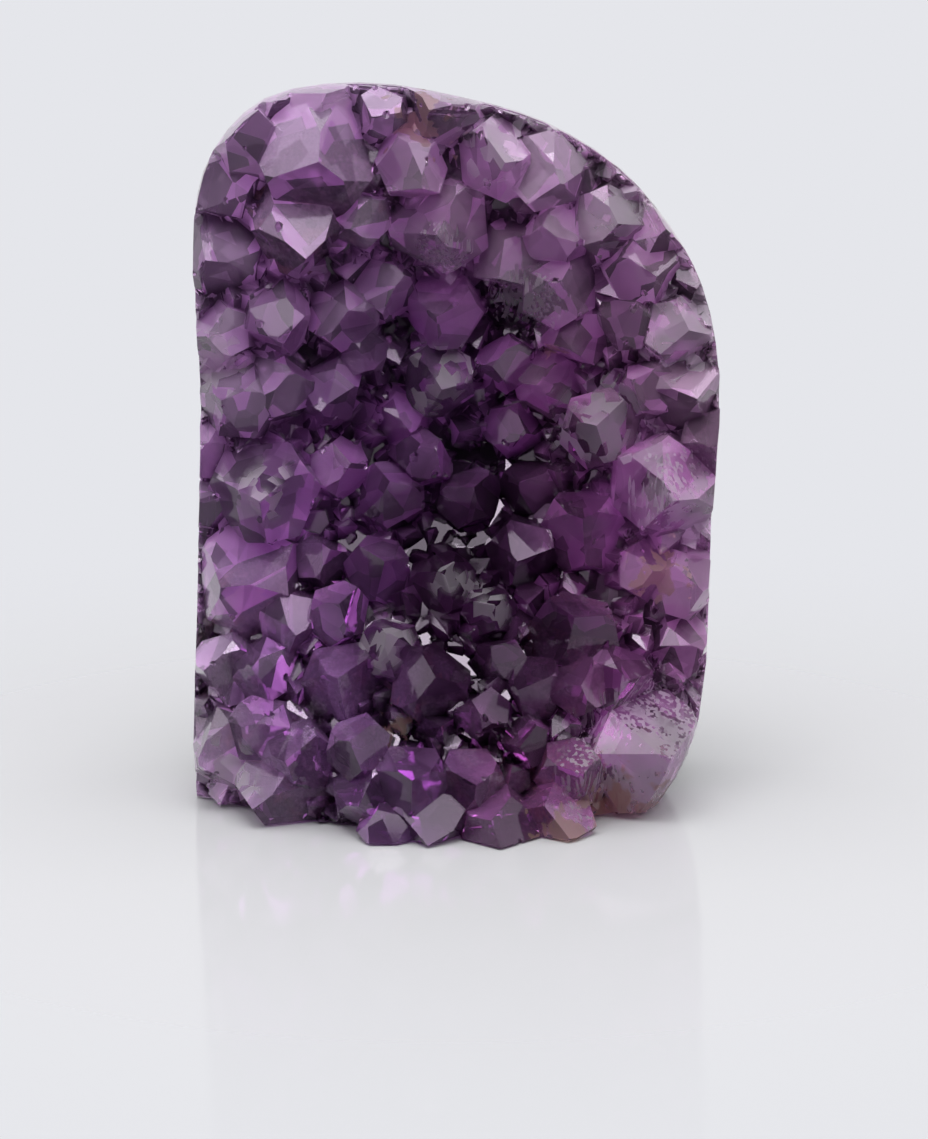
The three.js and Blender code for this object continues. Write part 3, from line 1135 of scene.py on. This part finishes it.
@dataclass(frozen=True)
class Chips:
    """Small flakes struck off the crystals' edges."""

    share: float = 0.07
    size: Span = (0.0004, 0.0010)
    thinness: float = 0.6
    sharp: float = 35.0
    most_turn: float = 6.28
    seed: int = 8

    def tree(self, values: Inputs) -> bpy.types.GeometryNodeTree:
        """Builds the tree: flat-sided flakes on some of the sharp edges, cut from the crust.

        Args:
            values: What the tree is given.

        Returns:
            The tree, with named inputs for its sizes.
        """
        maker, given = new_growth("edge_chips", values)
        crust, seed = given["Piece"], given["Seed"]
        angle = maker.add("GeometryNodeInputMeshEdgeAngle").outputs["Signed Angle"]
        chance = maker.add(
            "FunctionNodeRandomValue", {"Probability": given["Share"], "Seed": seed}, data_type="BOOLEAN"
        )
        struck = maker.sum("MULTIPLY", maker.sum("GREATER_THAN", angle, given["Sharp"]), chance.outputs[3])
        points = maker.add("GeometryNodeMeshToPoints", {"Mesh": crust, "Selection": struck}, mode="EDGES")
        turn = maker.draw(Draw.FLOAT_VECTOR, (0, 0, 0), given["Most Turn"], seed)
        turned = maker.add("FunctionNodeEulerToRotation", {"Euler": turn}).outputs[0]
        size = maker.draw(Draw.FLOAT, given["Least Size"], given["Most Size"], seed)
        scale = maker.triple(size, size, maker.sum("MULTIPLY", size, given["Thinness"]))
        flake = maker.add("GeometryNodeMeshIcoSphere", {"Radius": 1.0, "Subdivisions": 1}).outputs[0]
        flakes = maker.add(
            "GeometryNodeInstanceOnPoints",
            {"Points": points.outputs[0], "Instance": flake, "Rotation": turned, "Scale": scale},
        )
        cut = maker.add(
            "GeometryNodeMeshBoolean",
            {"Mesh 1": crust, "Mesh 2": flakes.outputs[0]},
            operation="DIFFERENCE",
            solver="MANIFOLD",
        )
        maker.add("NodeGroupOutput", {"Piece": maker.dressed(cut.outputs["Mesh"], given["Material"])})
        return maker.tree

    def strike(self, crust: Piece, material: Material) -> Mesh:
        """Cuts the chips from a crust.

        Args:
            crust: The crust.
            material: Its finish.

        Returns:
            The chipped crust.
        """
        values = {
            "Share": self.share,
            "Least Size": self.size[0],
            "Most Size": self.size[1],
            "Thinness": self.thinness,
            "Most Turn": (self.most_turn,) * 3,
            "Sharp": math.radians(self.sharp),
            "Seed": self.seed,
            "Material": material,
        }
        return baked(crust, self.tree(values), values)


@dataclass(frozen=True)
class PolishedSide:
    """The ground and polished side that the crystals are cut flush with, read from the frame."""

    ring_depth: float = FACE.rim + 0.006
    widest: float = FACE.rim + 0.005
    front_taper: float = 240.0
    back_taper: float = 300.0
    middle: Span = (0.0, 0.046)
    depths: tuple[float, ...] = (-0.040, -0.026, -0.016, -0.009, -0.004, 0.001, 0.006, 0.011, 0.018, 0.022)
    least_reach: float = 0.030
    below: float = -0.03
    foot: float = 0.00045
    foot_share: float = 0.9
    clearance: float = 0.00008
    ring_slack: float = 1.5e-4
    near_angle: float = 0.12
    outermost: float = 0.96

    def ring(self) -> np.ndarray:
        """Reads the side's outline from the frame and leads it on below the foot.

        Returns:
            Places across and up, in order round the outline.
        """
        points = np.vstack([points_of(node.data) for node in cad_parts.values()])
        near = np.abs(points[:, 1] - self.ring_depth) < self.ring_slack
        ring = np.unique(points[near][:, [0, 2]].round(6), axis=0)
        ring = ring[np.hypot(*(ring - self.middle).T) > self.least_reach]
        lowest = ring[ring[:, 1] < 2 * self.foot]
        feet = [(self.foot_share * x, self.below) for x in (lowest[:, 0].min(), lowest[:, 0].max())]
        ring = np.vstack((ring, feet)) - self.middle
        angle = np.arctan2(ring[:, 1], ring[:, 0])
        reach = np.hypot(ring[:, 0], ring[:, 1])
        outer = [reach[np.abs(angle - own) < self.near_angle].max() for own in angle]
        kept = reach > self.outermost * np.array(outer)
        return ring[kept][np.argsort(angle[kept])] + self.middle

    def scale(self, y: np.ndarray) -> np.ndarray:
        """Gives the side's size at some depths, as a share of the outline."""
        away = y - self.widest
        return 1 - np.where(away < 0, self.front_taper, self.back_taper) * away ** 2

    def share(self, points: np.ndarray) -> np.ndarray:
        """Tells how far out points lie, from 0 in the middle to 1 on the side.

        Args:
            points: Rows of x, y and z.

        Returns:
            The share of each point.
        """
        ring = self.ring() - self.middle
        angle = np.arctan2(ring[:, 1], ring[:, 0])
        away = points[:, [0, 2]] - self.middle
        own = np.arctan2(away[:, 1], away[:, 0])
        reach = np.interp(own, angle, np.hypot(ring[:, 0], ring[:, 1]), period=2 * math.pi)
        return np.hypot(away[:, 0], away[:, 1]) / reach / self.scale(points[:, 1])

    def holds(self, x: np.ndarray, z: np.ndarray) -> np.ndarray:
        """Tells which places lie inside the outline.

        Args:
            x: Places across.
            z: Places up.

        Returns:
            True for each place inside.
        """
        ring = self.ring()
        crossings = np.zeros(len(x), int)
        for (x0, z0), (x1, z1) in zip(ring, np.roll(ring, -1, 0)):
            spans = (z0 > z) != (z1 > z)
            share = np.divide(z - z0, z1 - z0, out=np.zeros_like(z), where=spans)
            crossings += spans & (x < x0 + share * (x1 - x0))
        return crossings % 2 == 1

    def blank(self) -> Piece:
        """Makes the solid that small crystals are cut to: the inside of the side, above the foot.

        Returns:
            The solid, a helper.
        """
        ring = self.ring() - self.middle
        ring *= 1 - self.clearance / np.hypot(ring[:, 0], ring[:, 1])[:, None]
        shape = bmesh.new()
        loops = []
        for y in FACE.rim + np.array(self.depths):
            places = ring * self.scale(y) + self.middle
            loops.append([shape.verts.new((x, y, z)) for x, z in places])
        for front, back in zip(loops, loops[1:]):
            for i in range(len(front)):
                j = (i + 1) % len(front)
                shape.faces.new((front[i], front[j], back[j], back[i]))
        shape.faces.new(loops[0][::-1])
        shape.faces.new(loops[-1])
        everything = [*shape.verts, *shape.edges, *shape.faces]
        bmesh.ops.bisect_plane(
            shape, geom=everything, plane_co=(0, 0, self.foot), plane_no=(0, 0, -1), clear_outer=True
        )
        bmesh.ops.edgeloop_fill(shape, edges=[edge for edge in shape.edges if edge.is_boundary])
        bmesh.ops.triangulate(shape, faces=shape.faces)
        bmesh.ops.recalc_face_normals(shape, faces=shape.faces)
        mesh = bpy.data.meshes.new("blank")
        shape.to_mesh(mesh)
        shape.free()
        return new_piece("blank", mesh)


@dataclass
class AmethystCrust:
    """The hollow's crystals: the large ones of the frame, with smaller ones grown between them."""

    node: str = "amethyst_crust"
    layers: tuple[Druse, ...] = (
        Druse("middling_crystals", 0.0058, (0.0040, 0.0070), 0.0004, 26.0, 11),
        Druse("small_crystals", 0.0033, (0.0029, 0.0050), 0.0001, 30.0, 5),
    )
    chips: Chips = Chips()
    side: PolishedSide = PolishedSide()
    behind: float = 0.0006
    drawn_in: float = 0.006
    side_share: float = 0.985
    ground_facet: float = 0.6
    back_slope: float = 0.3
    facet_turn: float = 2.0
    crease_turn: float = 12.0
    facet_seed: int = 3

    def seat(self, mesh: Mesh) -> None:
        """Pushes the crust's back a little way into the rock, so that no air is left between them.

        Args:
            mesh: The crust.
        """
        points = points_of(mesh)
        deep = points[:, 1] - FACE.depth(points[:, 0], points[:, 2]) > FACE.bed_depth
        back = np.zeros(len(points), bool)
        for polygon in mesh.polygons:
            corners = list(polygon.vertices)
            if polygon.normal.y > self.back_slope and deep[corners].all():
                back[corners] = True
        points[back, 1] += self.behind
        for axis, middle in zip((0, 2), self.side.middle):
            points[back, axis] -= self.drawn_in * (points[back, axis] - middle)
        mesh.vertices.foreach_set("co", points.ravel())
        mesh.update()

    def keep_whole(self, mesh: Mesh) -> None:
        """Drops crumbs that hang loose of the crust, and gives each flat facet a number of its own.

        Args:
            mesh: The grown crust.
        """
        shape = bmesh.new()
        shape.from_mesh(mesh)
        islands = self.regions(shape, lambda edge: True)
        whole = max(islands, key=len)
        loose = [face for island in islands if island is not whole for face in island]
        bmesh.ops.delete(shape, geom=loose, context="FACES")
        number = shape.faces.layers.float.new(FACET)
        draw = random.Random(self.facet_seed)
        flat = math.radians(self.facet_turn)
        for facet in self.regions(shape, lambda edge: edge.calc_face_angle(math.pi) < flat):
            value = draw.random()
            for face in facet:
                face[number] = value
        shape.to_mesh(mesh)
        shape.free()
        points = points_of(mesh)
        ground = self.side.share(points) > self.side_share
        numbers = mesh.attributes[FACET].data
        for polygon in mesh.polygons:
            if ground[list(polygon.vertices)].all():
                numbers[polygon.index].value = self.ground_facet
        # The depth below the heads, which the amethyst material turns into painted shade in the gaps.
        sunk = points[:, 1] - FACE.depth(points[:, 0], points[:, 2])
        sunk[ground] = 0
        mesh.attributes.new(SUNK, "FLOAT", "POINT").data.foreach_set("value", sunk)
        crease(mesh, self.crease_turn)

    @staticmethod
    def regions(
        shape: bmesh.types.BMesh, crosses: Callable[[bmesh.types.BMEdge], bool]
    ) -> list[list[bmesh.types.BMFace]]:
        """Parts a shape's faces into joined regions.

        Args:
            shape: The shape.
            crosses: Tells whether a region goes on across an edge.

        Returns:
            The faces of each region.
        """
        left = dict.fromkeys(shape.faces)
        found = []
        while left:
            first = next(iter(left))
            del left[first]
            region, edge_of_region = [first], [first]
            while edge_of_region:
                face = edge_of_region.pop()
                for edge in face.edges:
                    for other in edge.link_faces:
                        if other in left and crosses(edge):
                            del left[other]
                            region.append(other)
                            edge_of_region.append(other)
            found.append(region)
        return found

    def build(self) -> Piece:
        """Builds and dresses the crust.

        Returns:
            The crust.
        """
        material = AmethystFinish().build()
        piece = copy_of_node(self.node, "crystal_crust")
        self.seat(piece.data)
        blank = self.side.blank()
        for layer in self.layers:
            remesh(piece, layer.grow(piece, blank, layer.sheet(self.side), material))
            log.info("%s: crust of %d faces", layer.name, len(piece.data.polygons))
        drop(blank)
        remesh(piece, self.chips.strike(piece, material))
        self.keep_whole(piece.data)
        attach(piece, Body.ROOT.value)
        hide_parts(self.node)
        return piece


@dataclass
class RockMatrix:
    """The rock behind the crystals: polished round its side, sawn below and natural at the back."""

    node: str = "rock_matrix"
    side: PolishedSide = PolishedSide()
    side_share: float = 0.988
    dish_margin: float = 0.0006
    foot: float = 0.00001
    level: int = 3
    relief: float = 0.0016
    pits: float = 190.0
    pit_depth: float = 0.0009
    lump: float = 120.0
    fringe: int = 6
    fringe_span: Span = (0.5, 1.0)
    lump_detail: float = 6.0
    lump_twist: float = 0.6
    lump_height: float = 4.0
    pit_span: Span = (0.10, 0.42)
    pit_clouds: float = 70.0
    pit_share: Span = (0.48, 0.62)
    crease_turn: float = 32.0

    def mark_faces(self, mesh: Mesh) -> None:
        """Marks the faces of the natural back, and those of the bed under the crystals.

        Args:
            mesh: The rock as in the frame.
        """
        flat = np.empty(3 * len(mesh.polygons))
        mesh.polygons.foreach_get("center", flat)
        middles = flat.reshape(-1, 3)
        dish = FACE.depth(middles[:, 0], middles[:, 2]) + FACE.crust_depth
        on_side = self.side.share(points_of(mesh)) > self.side_share
        polished = np.array([on_side[list(polygon.vertices)].all() for polygon in mesh.polygons])
        open_faces = ~polished & (middles[:, 2] > self.foot)
        behind = middles[:, 1] - dish > self.dish_margin
        for name, marked in ((NATURAL, open_faces & behind), (BED, open_faces & ~behind)):
            mesh.attributes.new(name, "FLOAT", "FACE").data.foreach_set("value", marked.astype(float))

    def tree(self, values: Inputs) -> bpy.types.GeometryNodeTree:
        """Builds the tree that rounds the natural back and breaks it up.

        Args:
            values: What the tree is given.

        Returns:
            The tree, with named inputs for its sizes.
        """
        maker, given = new_growth("natural_back", values)
        natural, bed = (
            maker.add("GeometryNodeInputNamedAttribute", {"Name": name}, data_type="FLOAT").outputs[0]
            for name in (NATURAL, BED)
        )
        firm = maker.sum("LESS_THAN", natural, 0.99)
        fine = maker.add(
            "GeometryNodeSubdivisionSurface",
            {"Mesh": given["Piece"], "Level": given["Level"], "Edge Crease": firm},
        )
        spread = {"Value": natural, "Iterations": given["Fringe"]}
        soft = maker.add("GeometryNodeBlurAttribute", spread).outputs[0]
        place = maker.add("GeometryNodeInputPosition").outputs[0]
        broad = maker.noise(place, given["Lumps"], self.lump_detail, self.lump_twist)
        height = maker.sum("MULTIPLY", maker.sum("SUBTRACT", broad, 0.5), given["Relief"])
        cells = maker.add("ShaderNodeTexVoronoi", {"Vector": place, "Scale": given["Pits"]})
        pit = maker.ramp(cells.outputs["Distance"], *self.pit_span, 1.0, 0.0)
        where = maker.ramp(maker.noise(place, self.pit_clouds, 1.0), *self.pit_share)
        sunk = maker.sum("MULTIPLY", maker.sum("MULTIPLY", pit, where), given["Pit Depth"])
        raised = maker.sum("SUBTRACT", maker.sum("MULTIPLY", height, self.lump_height), sunk)
        raised = maker.sum("MULTIPLY", raised, maker.ramp(soft, *self.fringe_span))
        offset = maker.vector("SCALE", maker.add("GeometryNodeInputNormal").outputs[0], raised)
        moved = maker.add("GeometryNodeSetPosition", {"Geometry": fine.outputs[0], "Offset": offset})
        bedded = maker.add(
            "GeometryNodeSetMaterial",
            {
                "Geometry": maker.dressed(moved.outputs[0], given["Material"]),
                "Selection": maker.sum("GREATER_THAN", bed, 0.5),
                "Material": given["Bed Material"],
            },
        )
        maker.add("NodeGroupOutput", {"Piece": bedded.outputs[0]})
        return maker.tree

    def build(self) -> Piece:
        """Builds and dresses the rock.

        Returns:
            The rock.
        """
        piece = copy_of_node(self.node, "rock")
        self.mark_faces(piece.data)
        values = {
            "Level": self.level,
            "Relief": self.relief,
            "Lumps": self.lump,
            "Pits": self.pits,
            "Pit Depth": self.pit_depth,
            "Fringe": self.fringe,
            "Material": RockFinish().build(),
            "Bed Material": BedFinish().build(),
        }
        remesh(piece, baked(piece, self.tree(values), values))
        mesh = piece.data
        points = points_of(mesh)
        points[:, 2] = np.maximum(points[:, 2], 0)
        mesh.vertices.foreach_set("co", points.ravel())
        depth = points[:, 1] - FACE.depth(points[:, 0], points[:, 2]) - FACE.crust_depth
        mesh.attributes.new(BAND, "FLOAT", "POINT").data.foreach_set("value", depth)
        crease(mesh, self.crease_turn)
        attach(piece, Body.ROOT.value)
        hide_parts(self.node)
        return piece


def main() -> None:
    """Builds the camera, the studio and the pieces, and reports each piece."""
    logging.basicConfig(level=logging.INFO, format="%(name)s: %(message)s")
    PhotoCamera().build()
    Studio().build()
    for maker in (RockMatrix(), AmethystCrust()):
        piece = maker.build()
        log.info("%s: %d faces", piece.name, len(piece.data.polygons))


if __name__ == "__main__":
    main()
